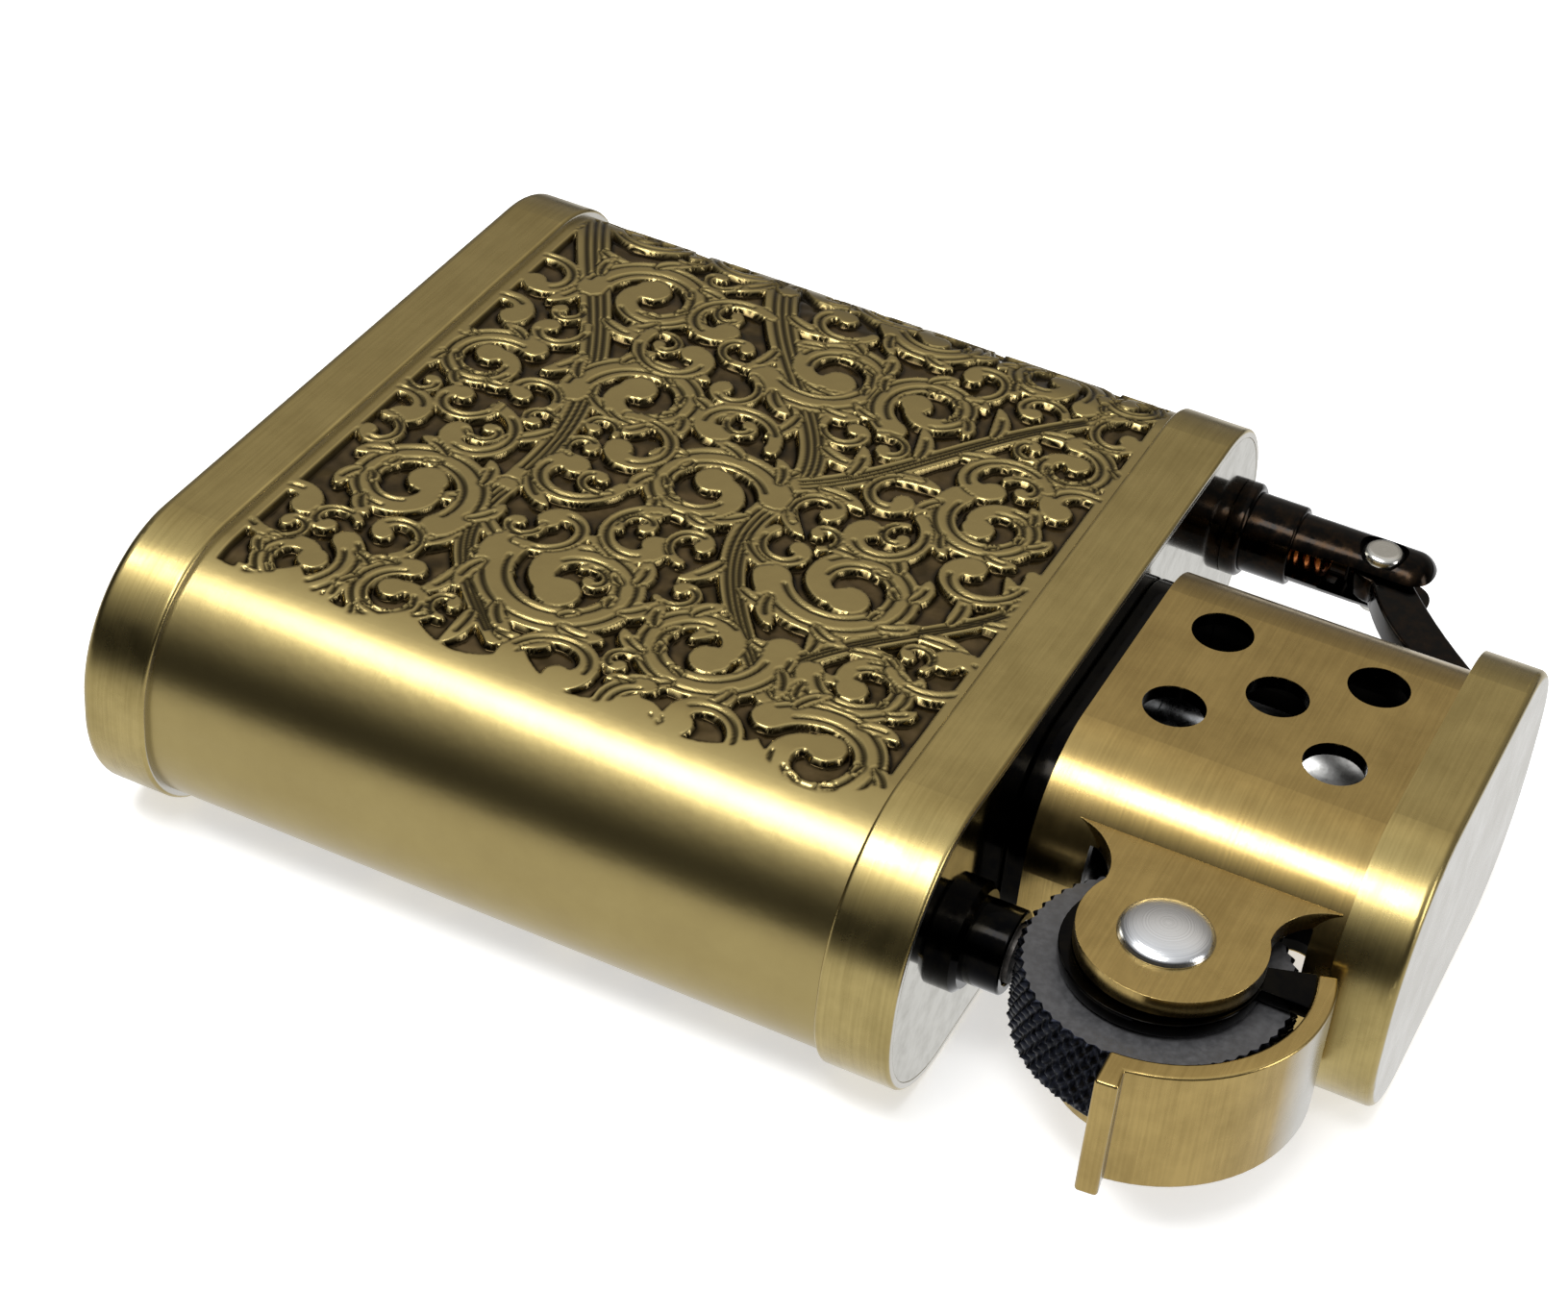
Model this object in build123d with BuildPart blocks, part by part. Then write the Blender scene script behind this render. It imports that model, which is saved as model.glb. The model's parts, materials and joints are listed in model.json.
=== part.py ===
from build123d import *
from math import cos, sin, radians
import os

os.makedirs("parts", exist_ok=True)

# Flint-wheel oil lighter lying on its back.
# +X runs from the base to the cap, -Y is the wheel and trigger side, +Z is the engraved front.
# All sizes are in millimetres.

# ---- case ----
case_w = 40.0                # across the bands, wheel side to hinge side
case_d = 13.1                # across the bands, front to back
case_corner = 6.1            # corner radius of the bands' section
band_proud = 0.36            # how far the two bands stand out from the body
wall = 0.6                   # sheet thickness of body and chimney
base_band_h = 3.0
base_floor = 1.2
collar_bottom = 32.9
deck_top = 36.07
deck_t = 1.0
edge_round = 0.18            # broken outer edges of bands and cap
body_w = case_w - 2 * band_proud
body_d = case_d - 2 * band_proud
body_corner = case_corner - band_proud
deck_bottom = deck_top - deck_t
tank_w = body_w - 2 * wall
tank_d = body_d - 2 * wall
tank_corner = body_corner - wall

# ---- named clearances ----
run_clear = 0.05             # radial running fit of pins, screws and plungers
seat_clear = 0.05            # axial gap under screw heads and plungers
side_clear = 0.20            # between the wheel and the trigger cheeks
cheek_clear = 0.08           # between a cheek and the ear beside it

# ---- chimney, its base block and the wick ----
chimney_y = -0.65
chimney_w = 18.9
chimney_d = 11.12
chimney_corner = 4.67
chimney_bottom = 37.1
chimney_top = 49.82
burner_top = 38.3
vent_r = 1.3
vent_x = 43.45
vent_y = -0.25
vent_dx = 3.38
vent_dy = 2.8
wick_y = 2.2
wick_tube_r = 1.6
wick_bore_r = 1.25
wick_tube_top = 41.4
wick_tube_bottom = deck_bottom - 0.8
wick_r = 1.2
wick_top = 43.2
wick_bottom = 18.0

# ---- flint wheel and trigger, all on one axis along Z ----
wheel_x = 44.1
wheel_y = -13.7
wheel_r = 5.45
wheel_root_r = 5.2
wheel_serrations = 48
wheel_z0 = -1.35
wheel_z1 = 2.05
axle_r = 1.0
bore_r = axle_r + run_clear
recess_r = 2.7
recess_depth = 0.95
ratchet_tip_r = 3.3
ratchet_root_r = 2.75
ratchet_teeth = 12
cheek_r = 3.95
cheek_t = 0.6
cheek_z0 = wheel_z1 + side_clear
cheek_z1 = cheek_z0 + cheek_t
ear_t = 0.8
ear_z0 = cheek_z1 + cheek_clear
ear_z1 = ear_z0 + ear_t
ear_x = 44.3
ear_y = -13.5
ear_r = 3.7
ear_foot_low = (38.4, -9.1)
ear_foot_high = (49.6, -9.2)
ear_foot_y = -7.6
rivet_head_r = 1.9
rivet_head_h = 0.65
peen_r = 1.6
peen_h = 0.4
cover_in_r = 5.85
cover_out_r = 6.65
cover_start = -88.0          # tail end of the cover, degrees round the axis
cover_end = 19.0
lip_r = 7.6
lip_angle = 7.0
arm_start = 0.0
spark_x0 = 39.5
spark_x1 = 48.7

# ---- pawl ----
pawl_orbit = 4.75
pawl_angle = 9.5
pawl_eye_r = 0.75
pawl_pin_r = 0.35
pawl_z0 = -2.0
pawl_z1 = -1.55
pawl_nose_r = 3.4            # nose radius from the wheel axis, just clear of the ratchet tips
pawl_nose_angle = 52.0

# ---- flint column ----
flint_y = wheel_y
flint_tube_r = 1.75
flint_bore_r = 1.3
flint_tube_top = 38.45
flint_tube_bottom = 1.0
flint_r = 1.2
flint_len = 4.0
flint_top = wheel_x - wheel_r - seat_clear
plunger_len = 3.0
ferrule_r = 2.3
screw_shank_r = flint_bore_r - run_clear
screw_head_r = 2.15
screw_pocket_r = screw_head_r + 0.15
screw_len = 6.0
screw_face = 0.1             # depth of the screw heads under the base's face
slot_w = 0.7
slot_depth = 0.4
flint_wire_r = 0.16
flint_coil_r = 0.9
spring_peg_r = 0.5
flint_coils = 16

# ---- filler ----
filler_y = 9.0
filler_boss_r = 3.4
filler_shank_r = 1.6
filler_head_r = 2.5
filler_head_t = 0.65
gasket_t = 0.25
filler_pocket = screw_face + filler_head_t + gasket_t + seat_clear
filler_len = 3.9

# ---- cap ----
cap_y = -0.63
cap_w = 21.16
cap_d = 12.8
cap_corner = 5.6
cap_bottom = 49.92
cap_top = 52.6
cap_wall = 0.7
liner_t = 0.7
snuffer_r = 2.35
snuffer_in_r = 1.95
snuffer_rim = 40.4
snuffer_end = 48.0
snuffer_floor = 0.5
stem_r = 1.0
pad_t = 1.6

# ---- cap hinge ----
post_y = 17.7
post_r = 1.85
post_neck_r = 1.6
post_shoulder = 39.1
post_top = 45.5
post_dome = 1.1
post_spigot_r = 1.2
post_spigot_bottom = deck_bottom - 0.7
hinge_ferrule_r = 2.2
ferrule_h = 0.8
pin_x = 43.0
pin_y = 17.5
pin_r = 0.6
pin_head_r = 0.95
notch_r = 1.1
notch_z = 1.15
pin_head_h = 0.4
slot_half = 0.85
slot_floor = 40.6
hub_r = 1.35
arm_half = 0.65
hinge_bore_r = 1.05
hinge_bore_bottom = 37.3
hinge_wire_r = 0.17
hinge_coil_r = 0.8
hinge_coils = 6
hinge_plunger_r = 0.75
hinge_plunger_t = 0.7
hinge_plunger_top = pin_x - hub_r - seat_clear


def at_x(x):
    """Section plane across the lighter: local x is Y, local y is Z."""
    return Plane(origin=(x, 0, 0), x_dir=(0, 1, 0), z_dir=(1, 0, 0))


def on_axis(x, y):
    """Section plane whose centre sits on an axis along X at height y."""
    return Plane(origin=(x, y, 0), x_dir=(0, 1, 0), z_dir=(1, 0, 0))


def around_wheel(z):
    """Plane facing +Z with its origin on the wheel axis."""
    return Plane(origin=(wheel_x, wheel_y, z))


def polar(r, angle):
    return (r * cos(radians(angle)), r * sin(radians(angle)))


def axis_at(x, y):
    """Z axis line through (x, y), used to turn polar points round a pin."""
    return Plane(origin=(x, y, 0))


# ======== case ========
with BuildPart() as base_cup:
    with BuildSketch(at_x(0)):
        RectangleRounded(case_w, case_d, case_corner)
    extrude(amount=base_band_h)
    fillet(base_cup.faces().sort_by(Axis.X)[0].edges(), 0.45)
    fillet(base_cup.faces().sort_by(Axis.X)[-1].edges(), edge_round)
    with BuildSketch(at_x(base_floor)):
        RectangleRounded(body_w, body_d, body_corner)
    extrude(amount=base_band_h, mode=Mode.SUBTRACT)
    with BuildSketch(on_axis(base_floor, filler_y)):
        Circle(filler_boss_r)
    extrude(amount=base_band_h - base_floor)
    with BuildSketch(on_axis(0, filler_y)):
        Circle(filler_shank_r + run_clear)
    extrude(amount=base_band_h, mode=Mode.SUBTRACT)
    with BuildSketch(on_axis(0, filler_y)):
        Circle(filler_head_r + 0.15)
    extrude(amount=filler_pocket, mode=Mode.SUBTRACT)
    with BuildSketch(on_axis(0, flint_y)):
        Circle(flint_tube_r)
    extrude(amount=base_band_h, mode=Mode.SUBTRACT)
    with BuildSketch(on_axis(0, flint_y)):
        Circle(screw_pocket_r)
    extrude(amount=flint_tube_bottom, mode=Mode.SUBTRACT)

with BuildPart() as tank_shell:
    with BuildSketch(at_x(base_floor)):
        RectangleRounded(body_w, body_d, body_corner)
        RectangleRounded(tank_w, tank_d, tank_corner, mode=Mode.SUBTRACT)
    extrude(amount=deck_bottom - base_floor)

with BuildPart() as collar:
    with BuildSketch(at_x(collar_bottom)):
        RectangleRounded(case_w, case_d, case_corner)
    extrude(amount=deck_top - collar_bottom)
    fillet(collar.faces().sort_by(Axis.X)[0].edges(), edge_round)
    fillet(collar.faces().sort_by(Axis.X)[-1].edges(), edge_round)
    with BuildSketch(at_x(collar_bottom)):
        RectangleRounded(body_w, body_d, body_corner)
    extrude(amount=deck_top - collar_bottom, mode=Mode.SUBTRACT)

with BuildPart() as deck_plate:
    with BuildSketch(at_x(deck_bottom)):
        RectangleRounded(body_w, body_d, body_corner)
        with Locations((flint_y, 0)):
            Circle(flint_tube_r, mode=Mode.SUBTRACT)
        with Locations((wick_y, 0)):
            Circle(wick_tube_r, mode=Mode.SUBTRACT)
        with Locations((post_y, 0)):
            Circle(post_spigot_r, mode=Mode.SUBTRACT)
    extrude(amount=deck_t)

# ======== tank contents ========
felt_top = base_band_h + 0.4
with BuildPart() as base_felt:
    with BuildSketch(at_x(base_floor)):
        RectangleRounded(tank_w, tank_d, tank_corner)
        with Locations((flint_y, 0)):
            Circle(flint_tube_r, mode=Mode.SUBTRACT)
        with Locations((filler_y, 0)):
            Circle(filler_boss_r, mode=Mode.SUBTRACT)
    extrude(amount=felt_top - base_floor)

packing_bottom = filler_len + 0.3
packing_top = deck_bottom - 0.9
with BuildPart() as fuel_packing:
    with BuildSketch(at_x(packing_bottom)):
        RectangleRounded(tank_w, tank_d, tank_corner)
        with Locations((flint_y, 0)):
            Circle(flint_tube_r, mode=Mode.SUBTRACT)
    extrude(amount=packing_top - packing_bottom)
    with BuildSketch(on_axis(wick_bottom, wick_y)):
        Circle(wick_r)
    extrude(amount=packing_top - wick_bottom, mode=Mode.SUBTRACT)

# ======== filler ========
with BuildPart() as filler_screw:
    with BuildSketch(on_axis(screw_face, filler_y)):
        Circle(filler_head_r)
    extrude(amount=filler_head_t)
    with BuildSketch(on_axis(screw_face, filler_y)):
        Circle(filler_shank_r)
    extrude(amount=filler_len - screw_face)
    chamfer(filler_screw.faces().sort_by(Axis.X)[-1].edges(), 0.3)
    with BuildSketch(on_axis(screw_face, filler_y)):
        Rectangle(2 * filler_head_r, slot_w)
    extrude(amount=slot_depth, mode=Mode.SUBTRACT)

with BuildPart() as filler_gasket:
    with BuildSketch(on_axis(screw_face + filler_head_t, filler_y)):
        Circle(filler_head_r)
        Circle(filler_shank_r, mode=Mode.SUBTRACT)
    extrude(amount=gasket_t)

# ======== flint column ========
with BuildPart() as flint_tube:
    with BuildSketch(on_axis(flint_tube_bottom, flint_y)):
        Circle(flint_tube_r)
        Circle(flint_bore_r, mode=Mode.SUBTRACT)
    extrude(amount=flint_tube_top - flint_tube_bottom)
    fillet(flint_tube.faces().sort_by(Axis.X)[-1].edges(), 0.12)

with BuildPart() as flint_ferrule:
    with BuildSketch(on_axis(deck_top, flint_y)):
        Circle(ferrule_r)
        Circle(flint_tube_r, mode=Mode.SUBTRACT)
    extrude(amount=ferrule_h)
    chamfer(flint_ferrule.faces().sort_by(Axis.X)[-1].edges().sort_by(SortBy.RADIUS)[-1], 0.25)

screw_seat = flint_tube_bottom - seat_clear
with BuildPart() as flint_screw:
    with BuildSketch(on_axis(screw_face, flint_y)):
        Circle(screw_head_r)
    extrude(amount=screw_seat - screw_face)
    with BuildSketch(on_axis(screw_face, flint_y)):
        Circle(screw_shank_r)
    extrude(amount=screw_len - screw_face)
    with BuildSketch(on_axis(screw_len, flint_y)):
        Circle(spring_peg_r)
    extrude(amount=2.0)
    with BuildSketch(on_axis(screw_face, flint_y)):
        Rectangle(2 * screw_head_r, slot_w)
    extrude(amount=slot_depth, mode=Mode.SUBTRACT)

plunger_top = flint_top - flint_len
plunger_bottom = plunger_top - plunger_len
with BuildPart() as flint_plunger:
    with BuildSketch(on_axis(plunger_bottom, flint_y)):
        Circle(flint_r)
    extrude(amount=plunger_len)
    with BuildSketch(on_axis(plunger_bottom - 2.0, flint_y)):
        Circle(spring_peg_r)
    extrude(amount=2.0)

with BuildPart() as flint:
    with BuildSketch(on_axis(plunger_top, flint_y)):
        Circle(flint_r)
    extrude(amount=flint_len)

spring_low = screw_len + flint_wire_r
spring_high = plunger_bottom - flint_wire_r
spring_rise = spring_high - spring_low
with BuildPart() as flint_spring:
    with BuildLine() as flint_coil:
        Helix(spring_rise / flint_coils, spring_rise, flint_coil_r,
              center=(spring_low, flint_y, 0), direction=(1, 0, 0))
    with BuildSketch(Plane(origin=flint_coil.line @ 0, z_dir=flint_coil.line % 0)):
        Circle(flint_wire_r)
    sweep(path=flint_coil.line, is_frenet=True)

# ======== wick, burner base and chimney ========
with BuildPart() as wick_tube:
    with BuildSketch(on_axis(wick_tube_bottom, wick_y)):
        Circle(wick_tube_r)
        Circle(wick_bore_r, mode=Mode.SUBTRACT)
    extrude(amount=wick_tube_top - wick_tube_bottom)
    fillet(wick_tube.faces().sort_by(Axis.X)[-1].edges(), 0.12)

with BuildPart() as wick:
    with BuildSketch(on_axis(wick_bottom, wick_y)):
        Circle(wick_r)
    extrude(amount=wick_top - wick_bottom)
    fillet(wick.faces().sort_by(Axis.X)[-1].edges(), 0.35)

with BuildPart() as burner_base:
    with BuildSketch(on_axis(deck_top, chimney_y)):
        RectangleRounded(chimney_w - 2 * wall, chimney_d - 2 * wall, chimney_corner - wall)
    extrude(amount=burner_top - deck_top)
    with BuildSketch(on_axis(deck_top, wick_y)):
        Circle(wick_tube_r)
    extrude(amount=burner_top - deck_top, mode=Mode.SUBTRACT)

with BuildPart() as chimney:
    with BuildSketch(on_axis(chimney_bottom, chimney_y)):
        RectangleRounded(chimney_w, chimney_d, chimney_corner)
    extrude(amount=chimney_top - chimney_bottom)
    with BuildSketch(on_axis(chimney_bottom, chimney_y)):
        RectangleRounded(chimney_w - 2 * wall, chimney_d - 2 * wall, chimney_corner - wall)
    extrude(amount=chimney_top - chimney_bottom, mode=Mode.SUBTRACT)
    with BuildSketch(Plane(origin=(vent_x, vent_y, 0))):
        Circle(vent_r)
        with Locations((vent_dx, vent_dy), (vent_dx, -vent_dy), (-vent_dx, vent_dy), (-vent_dx, -vent_dy)):
            Circle(vent_r)
    extrude(amount=case_d, both=True, mode=Mode.SUBTRACT)
    with BuildSketch(Plane.XZ.offset(-(chimney_y - chimney_w / 4))):
        with Locations(((spark_x0 + spark_x1) / 2, 0)):
            Rectangle(spark_x1 - spark_x0, 2 * ear_z0)
    extrude(amount=chimney_w, mode=Mode.SUBTRACT)


# ======== wheel ears and rivet ========
def ear_outline():
    """Closed outline of one ear: two concave flanks running into a round end."""
    round_low = (ear_x + polar(ear_r, 155)[0], ear_y + polar(ear_r, 155)[1])
    round_high = (ear_x + polar(ear_r, 25)[0], ear_y + polar(ear_r, 25)[1])
    tip = (ear_x, ear_y - ear_r)
    ThreePointArc(ear_foot_low, (40.25, -10.05), round_low)
    ThreePointArc(round_low, tip, round_high)
    ThreePointArc(round_high, (48.1, -10.2), ear_foot_high)
    Polyline(ear_foot_high, (ear_foot_high[0], ear_foot_y), (ear_foot_low[0], ear_foot_y), ear_foot_low)


with BuildPart() as wheel_ear_front:
    with BuildSketch(Plane.XY.offset(ear_z0)):
        with BuildLine():
            ear_outline()
        make_face()
    extrude(amount=ear_t)
    with BuildSketch(on_axis(chimney_bottom, chimney_y)):
        RectangleRounded(chimney_w, chimney_d, chimney_corner)
    extrude(amount=chimney_top - chimney_bottom, mode=Mode.SUBTRACT)
    with BuildSketch(around_wheel(ear_z0)):
        Circle(axle_r)
    extrude(amount=ear_t, mode=Mode.SUBTRACT)

with BuildPart() as wheel_ear_back:
    with BuildSketch(Plane.XY.offset(-ear_z1)):
        with BuildLine():
            ear_outline()
        make_face()
    extrude(amount=ear_t)
    with BuildSketch(on_axis(chimney_bottom, chimney_y)):
        RectangleRounded(chimney_w, chimney_d, chimney_corner)
    extrude(amount=chimney_top - chimney_bottom, mode=Mode.SUBTRACT)
    with BuildSketch(around_wheel(-ear_z1)):
        Circle(axle_r)
    extrude(amount=ear_t, mode=Mode.SUBTRACT)

with BuildPart() as wheel_axle:
    with BuildSketch(around_wheel(-ear_z1)):
        Circle(axle_r)
    extrude(amount=2 * ear_z1)
    with BuildSketch(around_wheel(ear_z1)):
        Circle(rivet_head_r)
    extrude(amount=rivet_head_h)
    fillet(wheel_axle.faces().sort_by(Axis.Z)[-1].edges(), rivet_head_h - 0.05)
    with BuildSketch(around_wheel(-ear_z1 - peen_h)):
        Circle(peen_r)
    extrude(amount=peen_h)
    fillet(wheel_axle.faces().sort_by(Axis.Z)[0].edges(), peen_h - 0.05)


# ======== flint wheel and ratchet ========
def serrated_points(count, tip_r, root_r, lean):
    """Rim points of a toothed wheel; lean 0.5 is a symmetric tooth, near 0 a saw tooth."""
    step = 360 / count
    points = []
    for i in range(count):
        points.append(polar(tip_r, i * step))
        points.append(polar(root_r, (i + lean) * step))
    return points


with BuildPart() as flint_wheel:
    with BuildSketch(around_wheel(wheel_z0)):
        Polygon(*serrated_points(wheel_serrations, wheel_r, wheel_root_r, 0.5), align=None)
        Circle(bore_r, mode=Mode.SUBTRACT)
    extrude(amount=wheel_z1 - wheel_z0)
    with BuildSketch(around_wheel(wheel_z1)):
        Circle(recess_r)
    extrude(amount=-recess_depth, mode=Mode.SUBTRACT)

with BuildPart() as ratchet_wheel:
    with BuildSketch(around_wheel(-wheel_z1)):
        Polygon(*serrated_points(ratchet_teeth, ratchet_tip_r, ratchet_root_r, 0.12), align=None)
        Circle(bore_r, mode=Mode.SUBTRACT)
    extrude(amount=wheel_z0 + wheel_z1)


# ======== trigger ========
def sector(inner_r, outer_r, start, end):
    """Outline of a ring sector round the wheel axis, drawn into the open line."""
    middle = (start + end) / 2
    Line(polar(inner_r, start), polar(outer_r, start))
    ThreePointArc(polar(outer_r, start), polar(outer_r, middle), polar(outer_r, end))
    Line(polar(outer_r, end), polar(inner_r, end))
    ThreePointArc(polar(inner_r, end), polar(inner_r, middle), polar(inner_r, start))


with BuildPart() as trigger_cover:
    with BuildSketch(around_wheel(-cheek_z1)):
        with BuildLine():
            sector(cover_in_r, cover_out_r, cover_start, cover_end)
        make_face()
        with BuildLine():
            sector(cover_in_r, lip_r, cover_start, cover_start + lip_angle)
        make_face()
    extrude(amount=2 * cheek_z1)
    lip_corner = trigger_cover.edges().filter_by(Axis.Z).sort_by(
        lambda e: (e.center() - Vector(wheel_x, wheel_y, 0)).length)[-2:]
    fillet(lip_corner, 0.15)

with BuildPart() as trigger_cheek_front:
    with BuildSketch(around_wheel(cheek_z0)):
        Circle(cheek_r)
        with BuildLine():
            sector(cheek_r - 1, cover_in_r, arm_start, cover_end)
        make_face()
        Circle(bore_r, mode=Mode.SUBTRACT)
    extrude(amount=cheek_t)

with BuildPart() as trigger_cheek_back:
    with BuildSketch(around_wheel(-cheek_z1)):
        Circle(cheek_r)
        with BuildLine():
            sector(cheek_r - 1, cover_in_r, arm_start, cover_end)
        make_face()
        Circle(bore_r, mode=Mode.SUBTRACT)
        with Locations(polar(pawl_orbit, pawl_angle)):
            Circle(pawl_pin_r, mode=Mode.SUBTRACT)
    extrude(amount=cheek_t)

trigger_wire_r = 0.17
trigger_coil_r = 1.75
trigger_coils = 2
coil_low = wheel_z1 - recess_depth + trigger_wire_r + 0.1
coil_high = cheek_z0 - trigger_wire_r - 0.02
trigger_rise = coil_high - coil_low
with BuildPart() as trigger_spring:
    with BuildLine() as trigger_coil:
        Helix(trigger_rise / trigger_coils, trigger_rise, trigger_coil_r,
              center=(wheel_x, wheel_y, coil_low))
    with BuildSketch(Plane(origin=trigger_coil.line @ 0, z_dir=trigger_coil.line % 0)):
        Circle(trigger_wire_r)
    sweep(path=trigger_coil.line, is_frenet=True)

# ======== pawl ========
pawl_at = polar(pawl_orbit, pawl_angle)
with BuildPart() as pawl:
    with BuildSketch(around_wheel(pawl_z0)):
        with Locations(pawl_at):
            Circle(pawl_eye_r)
        with BuildLine():
            Polyline(polar(pawl_orbit - pawl_eye_r, pawl_angle), polar(pawl_nose_r, pawl_nose_angle),
                     polar(pawl_nose_r + 0.7, pawl_nose_angle - 4),
                     polar(pawl_orbit + pawl_eye_r * 0.7, pawl_angle + 6),
                     polar(pawl_orbit - pawl_eye_r, pawl_angle))
        make_face()
        with Locations(pawl_at):
            Circle(pawl_pin_r + run_clear, mode=Mode.SUBTRACT)
    extrude(amount=pawl_z1 - pawl_z0)
    with BuildSketch(around_wheel(pawl_z0)):
        Circle(pawl_nose_r)
    extrude(amount=pawl_z1 - pawl_z0, mode=Mode.SUBTRACT)

with BuildPart() as pawl_pin:
    with BuildSketch(around_wheel(-cheek_z1)):
        with Locations(pawl_at):
            Circle(pawl_pin_r)
    extrude(amount=pawl_z1 + cheek_z1)

# ======== cap and snuffer ========
with BuildPart() as cap_shell:
    with BuildSketch(on_axis(cap_bottom, cap_y)):
        RectangleRounded(cap_w, cap_d, cap_corner)
    extrude(amount=cap_top - cap_bottom)
    fillet(cap_shell.faces().sort_by(Axis.X)[-1].edges(), 0.35)
    with BuildSketch(on_axis(cap_bottom, cap_y)):
        RectangleRounded(cap_w - 2 * cap_wall, cap_d - 2 * cap_wall, cap_corner - cap_wall)
    extrude(amount=cap_top - cap_bottom - cap_wall, mode=Mode.SUBTRACT)

liner_top = cap_top - cap_wall
liner_bottom = liner_top - liner_t
with BuildPart() as cap_liner:
    with BuildSketch(on_axis(liner_bottom, cap_y)):
        RectangleRounded(cap_w - 2 * cap_wall, cap_d - 2 * cap_wall, cap_corner - cap_wall)
    extrude(amount=liner_t)

with BuildPart() as snuffer_cup:
    with BuildSketch(on_axis(snuffer_rim, wick_y)):
        Circle(snuffer_r)
    extrude(amount=snuffer_end - snuffer_rim)
    fillet(snuffer_cup.faces().sort_by(Axis.X)[-1].edges(), 0.5)
    with BuildSketch(on_axis(snuffer_rim, wick_y)):
        Circle(snuffer_in_r)
    extrude(amount=snuffer_end - snuffer_floor - snuffer_rim, mode=Mode.SUBTRACT)
    with BuildSketch(on_axis(snuffer_end, wick_y)):
        Circle(stem_r)
    extrude(amount=liner_bottom - snuffer_end)

with BuildPart() as snuffer_pad:
    with BuildSketch(on_axis(snuffer_end - snuffer_floor - pad_t, wick_y)):
        Circle(snuffer_in_r)
    extrude(amount=pad_t)

# ======== cap hinge ========
arm_root_y = cap_y + cap_w / 2
with BuildPart() as cap_arm:
    with BuildSketch(Plane.XY.offset(-arm_half)):
        with Locations((pin_x, pin_y)):
            Circle(hub_r)
        with BuildLine():
            Line((cap_bottom + 0.25, arm_root_y), (cap_top - 0.75, arm_root_y))
            Spline((cap_top - 0.75, arm_root_y), (48.0, 13.2), (pin_x + hub_r, pin_y))
            Line((pin_x + hub_r, pin_y), (pin_x, pin_y - hub_r))
            Spline((pin_x, pin_y - hub_r), (45.2, 13.0), (cap_bottom + 0.25, arm_root_y))
        make_face()
        with Locations((pin_x, pin_y)):
            Circle(pin_r + run_clear, mode=Mode.SUBTRACT)
    extrude(amount=2 * arm_half)

with BuildPart() as hinge_post:
    with BuildSketch(on_axis(deck_top, post_y)):
        Circle(post_r)
    extrude(amount=post_shoulder - deck_top)
    fillet(hinge_post.faces().sort_by(Axis.X)[-1].edges(), 0.15)
    with BuildSketch(on_axis(post_spigot_bottom, post_y)):
        Circle(post_spigot_r)
    extrude(amount=deck_top - post_spigot_bottom)
    with BuildSketch(on_axis(deck_top, post_y)):
        Circle(post_neck_r)
    extrude(amount=post_top - deck_top)
    fillet(hinge_post.faces().sort_by(Axis.X)[-1].edges(), post_dome)
    with BuildSketch(on_axis(hinge_bore_bottom, post_y)):
        Circle(hinge_bore_r)
    extrude(amount=slot_floor + 0.6 - hinge_bore_bottom, mode=Mode.SUBTRACT)
    with BuildSketch(on_axis(slot_floor, post_y)):
        Rectangle(4 * post_r, 2 * slot_half)
    extrude(amount=post_top, mode=Mode.SUBTRACT)
    with BuildSketch(on_axis(post_shoulder, post_y - post_r)):
        Rectangle(2 * post_r, 1.5)
    extrude(amount=slot_floor - post_shoulder, mode=Mode.SUBTRACT)
    with BuildSketch(Plane(origin=(pin_x, pin_y, -case_d / 2))):
        Circle(pin_r)
    extrude(amount=case_d, mode=Mode.SUBTRACT)
    with BuildSketch(Plane(origin=(pin_x, pin_y, notch_z))):
        Circle(notch_r)
    extrude(amount=case_d, mode=Mode.SUBTRACT)
    with BuildSketch(Plane(origin=(pin_x, pin_y, -notch_z))):
        Circle(notch_r)
    extrude(amount=-case_d, mode=Mode.SUBTRACT)

with BuildPart() as hinge_ferrule:
    with BuildSketch(on_axis(deck_top, post_y)):
        Circle(hinge_ferrule_r)
        Circle(post_r, mode=Mode.SUBTRACT)
    extrude(amount=ferrule_h)
    chamfer(hinge_ferrule.faces().sort_by(Axis.X)[-1].edges().sort_by(SortBy.RADIUS)[-1], 0.15)

with BuildPart() as hinge_pin:
    with BuildSketch(Plane(origin=(pin_x, pin_y, -notch_z - pin_head_h))):
        Circle(pin_r)
    extrude(amount=2 * notch_z + pin_head_h)
    with BuildSketch(Plane(origin=(pin_x, pin_y, notch_z))):
        Circle(pin_head_r)
    extrude(amount=pin_head_h)
    fillet(hinge_pin.faces().sort_by(Axis.Z)[-1].edges(), pin_head_h - 0.05)

plunger_floor = hinge_plunger_top - hinge_plunger_t
with BuildPart() as hinge_plunger:
    with BuildSketch(on_axis(plunger_floor, post_y)):
        Circle(hinge_plunger_r)
    extrude(amount=hinge_plunger_t)

hinge_low = hinge_bore_bottom + hinge_wire_r
hinge_rise = plunger_floor - hinge_wire_r - hinge_low
with BuildPart() as hinge_spring:
    with BuildLine() as hinge_coil:
        Helix(hinge_rise / hinge_coils, hinge_rise, hinge_coil_r,
              center=(hinge_low, post_y, 0), direction=(1, 0, 0))
    with BuildSketch(Plane(origin=hinge_coil.line @ 0, z_dir=hinge_coil.line % 0)):
        Circle(hinge_wire_r)
    sweep(path=hinge_coil.line, is_frenet=True)

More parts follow.
